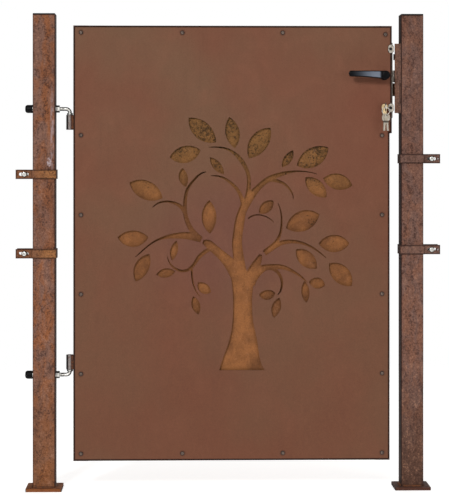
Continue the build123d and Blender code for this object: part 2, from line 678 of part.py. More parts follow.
def latch_spring():
    """Compression spring between the case and the latch head."""
    wire_r = 0.5
    coil_r = 2.2
    start_x = CASE_LEFT + CASE_WALL + wire_r
    length = BOX_RIGHT + 1 - start_x - wire_r
    path = Helix(pitch=length / 12, height=length, radius=coil_r)
    section = Plane(origin=path @ 0, z_dir=path % 0) * Circle(wire_r)
    coil = sweep(section, path, is_frenet=True)
    return Pos(start_x, 0, LATCH_BOTTOM + 3.2) * Rot(0, 90, 0) * coil


def deadbolt():
    """Locking bolt, level with the faceplate when unlocked, and its tail above the cam."""
    head = block(412, FACEPLATE_X, -DEADBOLT_HALF_Y, DEADBOLT_HALF_Y, DEADBOLT_BOTTOM, DEADBOLT_TOP)
    head = fillet(head.faces().sort_by(Axis.X)[-1].edges(), 0.6)
    return head + block(408, 420, -2, 2, DEADBOLT_BOTTOM - 22, DEADBOLT_BOTTOM + 5)


def cylinder_body():
    """Profile cylinder with a bore for the plug and a gap for the cam."""
    body = euro_profile(0, -CYLINDER_HALF_Y, CYLINDER_HALF_Y)
    body -= bar_y(PLUG_R + RUNNING_GAP, -CYLINDER_HALF_Y - 1, CYLINDER_HALF_Y + 1, PLUG_X, PLUG_Z)
    body -= block(PLUG_X - 20, PLUG_X + 20, -CAM_HALF_Y - 0.3, CAM_HALF_Y + 0.3,
                  PLUG_Z - CAM_REACH - 1.2, PLUG_Z + 20)
    return body - bar_x(2.5, PLUG_X - 10, PLUG_X + 10, 0, CYLINDER_SCREW_Z)


def cylinder_screw():
    """Countersunk screw from the faceplate into the cylinder."""
    shank = bar_x(2.4, PLUG_X - 8, FACEPLATE_X - 2, 0, CYLINDER_SCREW_Z)
    head = bar_x(4.4, FACEPLATE_X - 2, FACEPLATE_X - 0.1, 0, CYLINDER_SCREW_Z)
    slot = block(FACEPLATE_X - 1, FACEPLATE_X + 1, -5, 5, CYLINDER_SCREW_Z - 0.5,
                 CYLINDER_SCREW_Z + 0.5)
    return shank + head - slot


def cylinder_plug():
    """Turning core with a keyway open to the front."""
    plug = bar_y(PLUG_R, -CYLINDER_HALF_Y - 0.5, CYLINDER_HALF_Y, PLUG_X, PLUG_Z)
    return plug - block(PLUG_X - 1.2, PLUG_X + 1.2, -CYLINDER_HALF_Y - 2, -6, PLUG_Z - 4, PLUG_Z + 4)


def cylinder_cam():
    """Ring round the plug with a nose that drives the deadbolt."""
    ring = bar_y(8, -CAM_HALF_Y, CAM_HALF_Y, PLUG_X, PLUG_Z)
    ring += block(PLUG_X - 3.5, PLUG_X + 3.5, -CAM_HALF_Y, CAM_HALF_Y, PLUG_Z - CAM_REACH + 0.5, PLUG_Z)
    return ring - bar_y(PLUG_R, -CAM_HALF_Y - 1, CAM_HALF_Y + 1, PLUG_X, PLUG_Z)


def key_blank():
    """Outline of a flat key: the hole in its bow is at the origin, and the blade points down."""
    bow = Pos(0, -7) * Ellipse(11, 11.5)
    shoulder = Pos(0, -20) * Rectangle(8.5, 5)
    blade = Pos(0, -22 - KEY_BLADE / 2) * Rectangle(6.5, KEY_BLADE)
    key = bow + shoulder + blade - Circle(KEY_HOLE_R)
    for index in range(4):
        depth = 1.6 + 0.5 * (index % 3)
        key -= Pos(3.4, -27 - index * 4) * Rot(0, 0, 45) * Rectangle(depth, 2.2)
    return key


def key_in_lock():
    """Key pushed into the plug: its flat bow stands upright and points forward."""
    flat = plate_xz(key_blank(), -1, 1)
    return Pos(PLUG_X, KEY_HOLE_Y, PLUG_Z) * Rot(0, 0, -90) * Rot(0, 90, 0) * flat


def spare_key(side, tilt):
    """A key hanging from the bottom of the ring, turned part of the way towards the front."""
    flat = plate_xz(key_blank(), -1, 1)
    hole = Pos(PLUG_X + side * SPARE_KEY_SPREAD, KEY_HOLE_Y, RING_TOP_Z - 2 * RING_R - 0.5)
    return hole * Rot(0, 0, SPARE_KEY_TURN) * Rot(0, tilt, 0) * flat


def key_ring():
    """Ring hanging through the bow of the key in the lock."""
    ring = Torus(RING_R, RING_WIRE_R)
    return Pos(PLUG_X, KEY_HOLE_Y, RING_TOP_Z - RING_R) * Rot(90, 0, 0) * ring


# Handles

def lever_handle():
    """Front lever: a straight flat-faced bar on a round hub, pointing towards the hinges."""
    back = -HANDLE_REACH + LEVER_THICK
    top = HANDLE_Z + HUB_R - 0.5
    outline = Polyline((HANDLE_X, top), (LEVER_TIP_X + 4, top), (LEVER_TIP_X, top - 5),
                       (LEVER_TIP_X, top - 11), (LEVER_TIP_X + 5, top - 16), (HANDLE_X - 14, top - 21),
                       (HANDLE_X, HANDLE_Z - HUB_R + 0.5), close=True)
    bar = plate_xz(make_face(outline), -HANDLE_REACH, back)
    corners = [edge for edge in bar.edges().filter_by(Axis.Y) if edge.center().X < LEVER_TIP_X + 6]
    bar = fillet(corners, 2.2)
    bar += bar_y(HUB_R, -HANDLE_REACH, back, HANDLE_X, HANDLE_Z)
    bar = fillet(bar.faces().sort_by(Axis.Y)[0].edges(), 2)
    neck_end = SHEET_FRONT_Y - ROSE_THICK - 0.3
    handle = bar + bar_y(HUB_R - 1.5, back, neck_end, HANDLE_X, HANDLE_Z)
    half = SPINDLE / 2 + SPINDLE_SLACK
    handle -= block(HANDLE_X - half, HANDLE_X + half, back - 4, neck_end + 1, HANDLE_Z - half,
                    HANDLE_Z + half)
    return handle - bar_y_pin(2.5)


def bar_y_pin(radius):
    """Upright bar under the spindle, at the handle's set screw."""
    set_y = -(HANDLE_REACH + FRAME_FRONT_Y) + 6
    return bar_z(radius, HANDLE_Z - HUB_R - 1, HANDLE_Z - SPINDLE / 2, HANDLE_X, set_y)


def set_screw():
    body = bar_y_pin(2.4)
    low = HANDLE_Z - HUB_R + 1.5
    return body - block(HANDLE_X - 10, HANDLE_X + 10, -100, 0, low - 20, low)


def rose(y0, y1):
    """Round bearing ring between a handle and the leaf."""
    ring = bar_y(ROSE_R, y0, y1, HANDLE_X, HANDLE_Z)
    outer = ring.faces().sort_by(Axis.Y)[0] if y0 < 0 else ring.faces().sort_by(Axis.Y)[-1]
    ring = fillet(outer.edges(), 1.5)
    return ring - bar_y(6.5, y0 - 1, y1 + 1, HANDLE_X, HANDLE_Z)


def spindle():
    half = SPINDLE / 2
    reach = HANDLE_REACH - LEVER_THICK + 3
    return block(HANDLE_X - half, HANDLE_X + half, -reach, reach, HANDLE_Z - half, HANDLE_Z + half)


def rear_of(shape):
    """The same piece on the other side of the leaf."""
    return mirror(shape, about=Plane.XZ)


# Keep

def keep():
    """Folded keep: back plate on the post, long front flange, short rear flange at the deadbolt."""
    back = block(POST_INNER_X - KEEP_PLATE, POST_INNER_X, -KEEP_HALF_Y, KEEP_HALF_Y, KEEP_BOTTOM,
                 KEEP_TOP)
    front = block(KEEP_EDGE_X, POST_INNER_X, -KEEP_HALF_Y - KEEP_PLATE, -KEEP_HALF_Y, KEEP_BOTTOM,
                  KEEP_TOP)
    front -= block(POST_INNER_X - 4, POST_INNER_X + 1, -KEEP_HALF_Y - 5, -KEEP_HALF_Y, 1038, 1094)
    rear = block(KEEP_EDGE_X - 2, POST_INNER_X, KEEP_REAR_Y, KEEP_REAR_Y + KEEP_PLATE,
                 KEEP_REAR_BOTTOM, KEEP_REAR_TOP)
    body = back + front + rear
    for screw_z in KEEP_SCREW_HEIGHTS:
        body -= bar_x(2.5, POST_INNER_X - 10, POST_INNER_X + 5, 0, screw_z)
    return body


def keep_screw(screw_z):
    """Pan-head screw into the post wall."""
    seat = POST_INNER_X - KEEP_PLATE
    head = bar_x(5, seat - 3, seat, 0, screw_z)
    head = fillet(head.faces().sort_by(Axis.X)[0].edges(), 2)
    return head + bar_x(2.4, seat, POST_INNER_X + 8, 0, screw_z)


def keep_buffer():
    """Rubber pad behind the front flange that quiets the closing leaf."""
    pad = block(KEEP_EDGE_X - 3, POST_INNER_X - KEEP_PLATE, -KEEP_HALF_Y, -KEEP_HALF_Y + 5, 1156, 1172)
    return fillet(pad.faces().sort_by(Axis.Y)[-1].edges(), 1.2)


def export_posts():
    export_node("left_post", left_post())
    export_node("right_post", right_post())
    for name, centre_x in (("left", -POST_CENTRE_X), ("right", POST_CENTRE_X)):
        export_node(f"{name}_base_plate", base_plate(centre_x))
        export_node(f"{name}_post_cap", post_cap(centre_x))


def export_hinges():
    rods = (UPPER_ROD_Z, LOWER_ROD_Z)
    barrels = (UPPER_BARREL_Z, LOWER_BARREL_Z)
    inner = -POST_INNER_X
    outer = -POST_OUTER_X
    export_node("upper_hinge_hook", hinge_hook(UPPER_ROD_Z, UPPER_BARREL_Z + 1))
    export_node("lower_hinge_hook", hinge_hook(LOWER_ROD_Z, LOWER_BARREL_Z + BARREL_LENGTH - 1))
    washers = [hinge_washer(inner, inner + WASHER_THICK, rod_z) for rod_z in rods]
    washers += [hinge_washer(outer - WASHER_THICK, outer, rod_z) for rod_z in rods]
    export_node("hinge_washers", *washers)
    seat = inner + WASHER_THICK
    export_node("hinge_inner_nuts", *[hinge_nut(seat, seat + NUT_THICK, rod_z) for rod_z in rods])
    seat = outer - WASHER_THICK
    export_node("hinge_outer_nuts", *[hinge_nut(seat - NUT_THICK, seat, rod_z) for rod_z in rods])
    export_node("hinge_caps", *[hinge_cap(rod_z) for rod_z in rods])
    upper_seat = UPPER_BARREL_Z + BARREL_LENGTH + 0.3
    lower_seat = LOWER_BARREL_Z - 0.3 - COLLAR_THICK
    export_node("hinge_collars", hinge_collar(upper_seat), hinge_collar(lower_seat))
    export_node("upper_hinge_barrel", hinge_barrel(UPPER_BARREL_Z))
    export_node("lower_hinge_barrel", hinge_barrel(LOWER_BARREL_Z))
    export_node("hinge_welds", *[hinge_weld(z, side) for z in barrels for side in (-1, 1)])


def export_clamps():
    places = []
    for name, side in (("left", -1), ("right", 1)):
        for level, z in zip(("upper", "lower"), CLAMP_Z[name]):
            export_node(f"{name}_{level}_clamp", clamp_strap(side, z))
            places.append((side * CLAMP_BOLT_X, z))
    export_node("clamp_bolts", *[clamp_bolt(*place) for place in places])
    export_node("clamp_washers", *[clamp_washer(*place) for place in places])
    export_node("clamp_nuts", *[clamp_nut(*place) for place in places])


def export_leaf():
    export_node("left_stile", left_stile())
    export_node("right_stile", right_stile())
    export_node("top_rail", frame_rail(LEAF_TOP - TUBE, BOX_LEFT))
    export_node("bottom_rail", frame_rail(LEAF_BOTTOM, LEAF_RIGHT - TUBE))
    export_node("frame_end_plates", end_plate(LEAF_LEFT, LEAF_BOTTOM),
                end_plate(LEAF_RIGHT - TUBE, LEAF_BOTTOM), end_plate(LEAF_LEFT, LEAF_TOP - PLATE))
    export_node("lock_box", lock_box())
    export_node("front_sheet", front_sheet())
    export_node("backing_sheet", backing_sheet())
    export_node("sheet_screws", *[sheet_screw(x, z) for x, z in screw_places()])
    export_node("threaded_inserts", *[threaded_insert(x, z) for x, z in screw_places()])


def export_lock():
    export_node("lock_case", lock_case())
    export_node("lock_case_cover", lock_case_cover())
    export_node("lock_faceplate", lock_faceplate())
    export_node("faceplate_screws", *[faceplate_screw(lug_z) for lug_z in LUG_HEIGHTS])
    export_node("follower", follower())
    export_node("latch_bolt", latch_bolt())
    export_node("latch_spring", latch_spring())
    export_node("deadbolt", deadbolt())
    export_node("cylinder_body", cylinder_body())
    export_node("cylinder_screw", cylinder_screw())
    export_node("cylinder_plug", cylinder_plug())
    export_node("cylinder_cam", cylinder_cam())
    export_node("lock_key", key_in_lock())
    export_node("key_ring", key_ring())
    export_node("spare_keys", spare_key(-1, 5), spare_key(1, -6))


def export_handles():
    front = lever_handle()
    screw = set_screw()
    export_node("front_handle", front)
    export_node("rear_handle", rear_of(front))
    export_node("front_rose", rose(SHEET_FRONT_Y - ROSE_THICK, SHEET_FRONT_Y))
    export_node("rear_rose", rose(-FRAME_FRONT_Y, -SHEET_FRONT_Y + ROSE_THICK))
    export_node("handle_set_screws", screw, rear_of(screw))
    export_node("spindle", spindle())


def export_keep():
    export_node("keep", keep())
    export_node("keep_screws", *[keep_screw(screw_z) for screw_z in KEEP_SCREW_HEIGHTS])
    export_node("keep_buffer", keep_buffer())


def main():
    os.makedirs("parts", exist_ok=True)
    export_posts()
    export_hinges()
    export_clamps()
    export_leaf()
    export_lock()
    export_handles()
    export_keep()


main()
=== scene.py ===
import math
import random

import bmesh
import bpy
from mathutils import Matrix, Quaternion, Vector


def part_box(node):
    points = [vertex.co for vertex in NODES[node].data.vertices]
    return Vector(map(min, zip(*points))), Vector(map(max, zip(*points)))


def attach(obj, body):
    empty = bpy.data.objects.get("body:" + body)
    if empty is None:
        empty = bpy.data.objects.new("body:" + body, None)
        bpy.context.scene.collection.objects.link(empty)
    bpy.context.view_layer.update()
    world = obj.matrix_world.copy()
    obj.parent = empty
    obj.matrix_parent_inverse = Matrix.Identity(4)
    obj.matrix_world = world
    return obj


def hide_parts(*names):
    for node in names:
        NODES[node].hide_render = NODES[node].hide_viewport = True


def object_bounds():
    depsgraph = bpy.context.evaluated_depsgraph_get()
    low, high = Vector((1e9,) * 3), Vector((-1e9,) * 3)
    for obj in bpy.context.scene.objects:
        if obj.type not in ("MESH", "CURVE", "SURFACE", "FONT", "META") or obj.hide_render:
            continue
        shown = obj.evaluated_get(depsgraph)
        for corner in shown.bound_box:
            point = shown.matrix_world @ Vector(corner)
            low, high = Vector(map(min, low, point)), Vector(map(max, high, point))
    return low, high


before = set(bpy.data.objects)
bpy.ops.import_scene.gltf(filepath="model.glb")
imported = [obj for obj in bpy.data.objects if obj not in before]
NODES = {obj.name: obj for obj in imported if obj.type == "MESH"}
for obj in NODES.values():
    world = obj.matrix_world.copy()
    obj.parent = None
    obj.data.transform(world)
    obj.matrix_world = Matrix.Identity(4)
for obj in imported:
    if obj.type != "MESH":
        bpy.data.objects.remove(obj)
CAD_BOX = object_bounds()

SCENE = bpy.context.scene


# ---------------------------------------------------------------- places, read from the model's parts, and a few given numbers

def middle(node):
    """The centre of a CAD node's box."""
    low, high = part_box(node)
    return (low + high) / 2


LEFT_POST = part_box("left_post")
RIGHT_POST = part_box("right_post")
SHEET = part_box("front_sheet")
PLATE_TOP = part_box("left_base_plate")[1].z
EDGE_SHADE_WIDTH = 0.0056                        # width of the painted shade band along the face sheet's outline
STRAP_SHADE_WIDTH = 0.0040                       # and along the fence clamps' edges
RED_CLOUD = Vector((0.33, 0, 1.02))       # middles of the two broad stains on the face sheet
PURPLE_CLOUD = Vector((0.0, 0, 0.66))
SHEEN_HEIGHT = 0.96                      # middle of the painted sheen band on the hinge post
GATE_MIDDLE = (CAD_BOX[0] + CAD_BOX[1]) / 2


def sheet_step():
    """The corner where the face sheet's right edge steps in, below the lock box."""
    corners = [corner.co for corner in NODES["front_sheet"].data.vertices]
    x = max(corner.x for corner in corners if corner.z < SHEET[0].z + 0.1)
    z = min(corner.z for corner in corners if corner.x > x + 0.001)
    return Vector((x, 0, z))


def screw_middles():
    """The centre of each sheet screw's head, found as the separate heaps of points in its node."""
    found = []
    for corner in NODES["sheet_screws"].data.vertices:
        place = Vector((corner.co.x, 0, corner.co.z))
        for heap in found:
            if (heap[0] - place).length < SCREW_REACH:
                heap.append(place)
                break
        else:
            found.append([place])
    return [sum(heap, Vector()) / len(heap) for heap in found]


SCREW_REACH = 0.03
SHEET_STEP = sheet_step()
SCREW_MIDDLES = screw_middles()


# ---------------------------------------------------------------- material building

def tone(red, green, blue):
    """A display colour, 0 to 255, as the linear colour a shader takes."""
    linear = []
    for value in (red, green, blue):
        share = value / 255
        linear.append(share / 12.92 if share <= 0.04045 else ((share + 0.055) / 1.055) ** 2.4)
    return (*linear, 1.0)


def is_socket(value):
    return isinstance(value, bpy.types.NodeSocket)


class Finish:
    """One procedural material. Its methods add nodes and pass sockets on, and paint() joins them up."""

    def __init__(self, name, **settings):
        self.material = bpy.data.materials.new(name)
        self.material.use_nodes = True
        self.tree = self.material.node_tree
        self.tree.nodes.clear()
        self.shader = self.tree.nodes.new("ShaderNodeBsdfPrincipled")
        output = self.tree.nodes.new("ShaderNodeOutputMaterial")
        self.tree.links.new(self.shader.outputs[0], output.inputs[0])
        for word, value in settings.items():
            self.shader.inputs[word.replace("_", " ")].default_value = value
        source = self.tree.nodes.new("ShaderNodeTexCoord")
        self.place = source.outputs["Object"]
        parts = self.tree.nodes.new("ShaderNodeSeparateXYZ")
        self.tree.links.new(self.place, parts.inputs[0])
        self.x, self.y, self.z = parts.outputs
        facing = self.tree.nodes.new("ShaderNodeSeparateXYZ")
        self.tree.links.new(source.outputs["Normal"], facing.inputs[0])
        self.facing_x, self.facing_y, self.facing_z = facing.outputs

    def put(self, socket, value):
        if is_socket(value):
            self.tree.links.new(value, socket)
        else:
            socket.default_value = value

    def node(self, kind, inputs, out=0, **attributes):
        made = self.tree.nodes.new(kind)
        for word, value in attributes.items():
            setattr(made, word, value)
        for key, value in inputs.items():
            self.put(made.inputs[key], value)
        return made.outputs[out]

    def calc(self, operation, first, second=0.0, clamp=False):
        return self.node(
            "ShaderNodeMath", {0: first, 1: second}, operation=operation, use_clamp=clamp
        )

    def stretched(self, stretch, shift):
        return self.node(
            "ShaderNodeMapping", {"Vector": self.place, "Scale": stretch, "Location": shift}
        )

    def noise(self, scale, detail=3.0, rough=0.55, stretch=(1, 1, 1), shift=(0, 0, 0), warp=0.0):
        return self.node(
            "ShaderNodeTexNoise",
            {
                "Vector": self.stretched(stretch, shift),
                "Scale": scale,
                "Detail": detail,
                "Roughness": rough,
                "Distortion": warp,
            },
        )

    def cells(self, scale, shift=(0, 0, 0), stretch=(1, 1, 1)):
        """Distance from the nearest of a set of scattered points, in cell widths."""
        return self.node(
            "ShaderNodeTexVoronoi", {"Vector": self.stretched(stretch, shift), "Scale": scale}
        )

    def band(self, value, low, high):
        """0 below low and 1 above high, smooth between. It falls where low is above high."""
        down = low > high
        return self.node(
            "ShaderNodeMapRange",
            {
                "Value": value,
                "From Min": min(low, high),
                "From Max": max(low, high),
                "To Min": 1.0 if down else 0.0,
                "To Max": 0.0 if down else 1.0,
            },
            interpolation_type="SMOOTHSTEP",
        )

    def mix(self, factor, first, second, blend="MIX"):
        made = self.tree.nodes.new("ShaderNodeMix")
        made.data_type = "RGBA"
        made.blend_type = blend
        self.put(made.inputs[0], factor)
        self.put(made.inputs[6], first)
        self.put(made.inputs[7], second)
        return made.outputs[2]

    def near(self, point, inner, outer, stretch=(1, 1, 1)):
        """1 within inner of the point and 0 beyond outer, measured with each axis divided by its stretch."""
        scale = tuple(1 / s for s in stretch)
        shift = tuple(-p * s for p, s in zip(point, scale))
        distance = self.node(
            "ShaderNodeVectorMath", {0: self.stretched(scale, shift)}, "Value", operation="LENGTH"
        )
        return self.band(distance, outer, inner)

    def both(self, first, second):
        return self.calc("MULTIPLY", first, second)

    def either(self, *masks):
        total = masks[0]
        for mask in masks[1:]:
            total = self.calc("MAXIMUM", total, mask)
        return total

    def bump(self, height, strength, distance, under=None):
        inputs = {"Height": height, "Strength": strength, "Distance": distance}
        if under is not None:
            inputs["Normal"] = under
        return self.node("ShaderNodeBump", inputs)

    def range(self, value, low, high):
        """A share from 0 to 1 as a number between low and high."""
        return self.node("ShaderNodeMapRange", {"Value": value, "To Min": low, "To Max": high})

    def paint(self, colour, roughness, normal=None):
        self.put(self.shader.inputs["Base Color"], colour)
        self.put(self.shader.inputs["Roughness"], roughness)
        if normal is not None:
            self.put(self.shader.inputs["Normal"], normal)
        return self.material


def rust_surface(finish, colour, grain=1.0, coarse=1.0):
    """Adds the speckle, pitting, roughness and bump that every rusted surface shares."""
    small = finish.noise(210, 4, 0.8, shift=(3, 1, 8), warp=0.5)
    large = finish.noise(48, 4, 0.7, stretch=(1, 1, 0.5), shift=(2, 6, 1), warp=0.8)
    speckle = finish.calc(
        "ADD", finish.calc("MULTIPLY", small, 0.62), finish.calc("MULTIPLY", large, 0.38)
    )
    dust = finish.noise(420, 4, 0.7)
    pits = finish.cells(900, shift=(3, 5, 7))
    colour = finish.mix(
        finish.range(finish.band(speckle, 0.51, 0.40), 0.0, 0.75 * coarse),
        colour, tone(52, 31, 25),
    )
    colour = finish.mix(
        finish.range(finish.band(speckle, 0.53, 0.63), 0.0, 0.5 * coarse),
        colour, tone(172, 126, 102),
    )
    colour = finish.mix(
        finish.range(finish.band(dust, 0.4, 0.7), 0.0, 0.3 * grain),
        colour, tone(62, 36, 26),
    )
    roughness = finish.range(dust, 0.72, 0.98)
    height = finish.calc("ADD", finish.calc("MULTIPLY", pits, 0.5), dust)
    normal = finish.bump(height, 0.35 * grain, 0.0006)
    normal = finish.bump(speckle, 0.4 * coarse, 0.0012, normal)
    normal = finish.bump(finish.noise(60, 4, 0.6, shift=(9, 1, 4)), 0.25 * grain, 0.0012, normal)
    return colour, roughness, normal


def sheet_outline_mask(f):
    """Where the face sheet gets a painted dark outline of shade: 1 along the face sheet's whole outline, with
    the step below the lock box, and 0 inside it.
    """
    left = f.band(f.x, SHEET[0].x + EDGE_SHADE_WIDTH, SHEET[0].x + EDGE_SHADE_WIDTH / 2)
    top = f.band(f.z, SHEET[1].z - EDGE_SHADE_WIDTH, SHEET[1].z - EDGE_SHADE_WIDTH / 2)
    low = f.band(f.z, SHEET[0].z + EDGE_SHADE_WIDTH, SHEET[0].z + EDGE_SHADE_WIDTH / 2)
    right = f.band(f.x, SHEET[1].x - EDGE_SHADE_WIDTH, SHEET[1].x - EDGE_SHADE_WIDTH / 2)
    inner = f.band(f.x, SHEET_STEP.x - EDGE_SHADE_WIDTH, SHEET_STEP.x - EDGE_SHADE_WIDTH / 2)
    under = f.band(f.z, SHEET_STEP.z + EDGE_SHADE_WIDTH, SHEET_STEP.z + EDGE_SHADE_WIDTH / 2)
    return f.either(left, top, low, right, f.both(inner, under))


def sheet_rust():
    """The face sheet: even brown with broad soft clouds, painted shade along its outline and on its cut
    walls, and a few worn spots at the hinges.
    """
    f = Finish("sheet_rust_finish", Specular_IOR_Level=0.2)
    clouds = f.noise(3.4, 3, 0.5, stretch=(1, 1, 0.8), shift=(2.3, 0, 5.1))
    patches = f.noise(9, 4, 0.6, shift=(7, 0, 1.5), warp=0.6)
    colour = f.mix(f.band(clouds, 0.34, 0.66), tone(117, 74, 56), tone(114, 82, 62))
    red = f.near(RED_CLOUD, 0.2, 1.0, stretch=(0.24, 1, 0.3))
    colour = f.mix(f.calc("MULTIPLY", red, 0.4), colour, tone(122, 70, 54))
    purple = f.near(PURPLE_CLOUD, 0.2, 1.0, stretch=(0.3, 1, 0.24))
    colour = f.mix(f.calc("MULTIPLY", purple, 0.5), colour, tone(110, 73, 66))
    colour = f.mix(f.range(f.band(patches, 0.45, 0.75), 0.0, 0.35), colour, tone(133, 86, 66))
    height = f.band(f.z, SHEET[0].z, SHEET[1].z)
    colour = f.mix(f.range(height, 0.55, 0.0), colour, tone(98, 60, 42))
    runs = f.noise(26, 3, 0.6, stretch=(1.6, 1, 0.12), shift=(1, 0, 8))
    colour = f.mix(f.range(f.band(runs, 0.55, 0.8), 0.0, 0.2), colour, tone(98, 64, 50))
    for barrel in ("upper_hinge_barrel", "lower_hinge_barrel"):
        spot = middle(barrel)
        spot.x = SHEET[0].x
        worn = f.near(spot, 0.1, 1.0, stretch=(0.007, 1, 0.022))
        worn = f.both(worn, f.band(patches, 0.3, 0.6))
        colour = f.mix(f.calc("MULTIPLY", worn, 0.5), colour, tone(160, 104, 72))
    for place in SCREW_MIDDLES:
        stain = f.near(place, 0.55, 1.0, stretch=(0.0105, 1, 0.0105))
        colour = f.mix(f.calc("MULTIPLY", stain, 0.5), colour, tone(76, 48, 38))
    colour, roughness, normal = rust_surface(f, colour, 0.5, 0.09)
    # painted shade: the cut walls and sides that turn from the front, and a band along the sheet's outline,
    # go near black
    edge_shade = f.band(f.calc("ABSOLUTE", f.facing_y), 0.75, 0.45)
    edge_shade = f.either(f.calc("MULTIPLY", sheet_outline_mask(f), 0.92), edge_shade)
    colour = f.mix(edge_shade, colour, tone(26, 10, 7))
    return f.paint(colour, roughness, normal)


def backing_rust():
    """The sheet behind the cut-outs: rawer orange-brown, flecked with dark scale that thickens upwards."""
    f = Finish("backing_rust_finish", Specular_IOR_Level=0.2)
    clouds = f.noise(14, 4, 0.6, shift=(4, 0, 2), warp=0.4)
    colour = f.mix(f.band(clouds, 0.3, 0.7), tone(112, 70, 40), tone(148, 95, 54))
    height = f.band(f.z, 0.72, 0.96)
    colour = f.mix(f.calc("MULTIPLY", height, 0.6), colour, tone(126, 92, 50))
    flecks = f.noise(150, 5, 0.8, shift=(1, 2, 3), warp=0.8)
    spread = f.noise(16, 3, 0.6, shift=(8, 0, 6))
    limit = f.calc("SUBTRACT", 0.64, f.calc("MULTIPLY", height, 0.17))
    limit = f.calc("SUBTRACT", limit, f.calc("MULTIPLY", f.band(f.x, 0.0, 0.3), 0.03))
    limit = f.calc("SUBTRACT", limit, f.calc("MULTIPLY", f.calc("SUBTRACT", spread, 0.5), 0.5))
    mask = f.calc("MULTIPLY", f.calc("SUBTRACT", flecks, limit), 9.0, clamp=True)
    colour = f.mix(f.calc("MULTIPLY", mask, 0.85), colour, tone(46, 34, 18))
    colour, roughness, normal = rust_surface(f, colour, 0.8, 0.35)
    return f.paint(colour, roughness, normal)


def tube_rust(name, warm, cool, dark, mill_scale):
    """Hot-rolled tube and strap: mottled rust with upright streaks and rubbed patches of mill scale."""
    f = Finish(name, Specular_IOR_Level=0.2)
    mottle = f.noise(34, 5, 0.65, stretch=(1, 1, 0.45), shift=(5, 3, 1), warp=0.7)
    broad = f.noise(6, 3, 0.5, stretch=(1, 1, 0.6), shift=(1, 9, 3))
    streaks = f.noise(120, 3, 0.6, stretch=(1, 1, 0.06), shift=(2, 4, 6))
    colour = f.mix(f.band(mottle, 0.38, 0.62), warm, cool)
    colour = f.mix(f.range(f.band(broad, 0.4, 0.7), 0.0, 0.5), colour, dark)
    colour = f.mix(f.range(f.band(streaks, 0.5, 0.8), 0.0, 0.5), colour, tone(80, 48, 34))
    flakes = f.noise(22, 5, 0.7, stretch=(1, 1, 0.35), shift=(3, 8, 8))
    scale = f.both(f.band(flakes, 0.58, 0.7), mill_scale(f))
    colour = f.mix(f.calc("MULTIPLY", scale, 0.7), colour, tone(134, 112, 108))
    return f, colour


def post_rust():
    """The posts and base plates: orange on the hinge side, browner and darker-footed on the lock side, with
    painted shade on the side faces and a painted sheen on the hinge post.
    """
    def rubbed(f):
        return f.calc("MULTIPLY", f.band(f.z, 0.7, 1.2), 0.8)

    f, colour = tube_rust(
        "post_rust_finish", tone(142, 86, 52), tone(126, 92, 78), tone(104, 68, 54), rubbed
    )
    lock_side = f.band(f.x, -0.2, 0.2)
    colour = f.mix(f.calc("MULTIPLY", lock_side, 0.55), colour, tone(104, 80, 74))
    foot = f.band(f.z, 0.4, 0.02)
    foot_tone = f.mix(lock_side, tone(124, 78, 42), tone(76, 52, 40))
    colour = f.mix(f.both(foot, f.range(lock_side, 0.55, 0.9)), colour, foot_tone)
    strap_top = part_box("left_upper_clamp")[1].z
    scratch = Vector((LEFT_POST[1].x - 0.016, LEFT_POST[0].y, strap_top + 0.020))
    bare = f.near(scratch, 0.2, 1.0, stretch=(0.014, 1, 0.024))
    ragged = f.calc("ADD", f.calc("MULTIPLY", bare, 0.34), f.noise(210, 4, 0.8, shift=(4, 4, 4)))
    bare = f.band(ragged, 0.76, 0.84)
    # painted sheen: a pale upright band near the hinge post's inner corner stands in for a highlight
    sheen_line = Vector((LEFT_POST[1].x - 0.008, LEFT_POST[0].y, SHEEN_HEIGHT))
    painted_sheen = f.near(sheen_line, 0.4, 1.0, (0.007, 1, 0.14))
    painted_sheen = f.both(painted_sheen, f.band(f.noise(160, 4, 0.7, stretch=(1, 1, 0.3)), 0.42, 0.6))
    colour, roughness, normal = rust_surface(f, colour, 1.0, 1.0)
    # one pale colour serves the bare scratch and the painted sheen
    colour = f.mix(f.either(bare, f.calc("MULTIPLY", painted_sheen, 0.55)), colour, tone(166, 150, 152))
    plate = f.band(f.z, PLATE_TOP + 0.001, PLATE_TOP - 0.0005)
    plate_tone = f.mix(lock_side, tone(124, 70, 34), tone(72, 40, 30))
    colour = f.mix(f.calc("MULTIPLY", plate, 0.7), colour, plate_tone)
    # painted shade: faces turned to the sides go near black, and so does a thin band just under the post's
    # top
    side = f.band(f.calc("ABSOLUTE", f.facing_x), 0.2, 0.6)
    crown = f.band(f.z, LEFT_POST[1].z - 0.004, LEFT_POST[1].z - 0.001)
    colour = f.mix(f.calc("MULTIPLY", f.either(side, crown), 0.85), colour, tone(34, 17, 13))
    return f.paint(colour, roughness, normal)


def strap_rim_shade(f):
    """Where the fence clamps get painted shade: 1 along both edges of each fence clamp and at its ear's free
    end, and 0 elsewhere on it.
    """
    end = f.band(f.calc("ABSOLUTE", f.x), CAD_BOX[1].x - STRAP_SHADE_WIDTH, CAD_BOX[1].x - STRAP_SHADE_WIDTH / 2)
    rim_shades = [end]
    for side in ("left", "right"):
        facing = f.calc("MULTIPLY", f.x, -1.0 if side == "left" else 1.0)
        for level in ("upper", "lower"):
            low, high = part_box(f"{side}_{level}_clamp")
            middle_z = (low.z + high.z) / 2
            half = (high.z - low.z) / 2
            off = f.calc("ABSOLUTE", f.calc("SUBTRACT", f.z, middle_z))
            rim_shade = f.band(off, half - STRAP_SHADE_WIDTH, half - STRAP_SHADE_WIDTH / 2)
            rim_shade = f.both(rim_shade, f.band(off, half * 1.2, half * 1.1))
            outer = f.band(facing, RIGHT_POST[0].x - 0.01, RIGHT_POST[0].x - 0.005)
            rim_shades.append(f.both(rim_shade, outer))
    return f.either(*rim_shades)


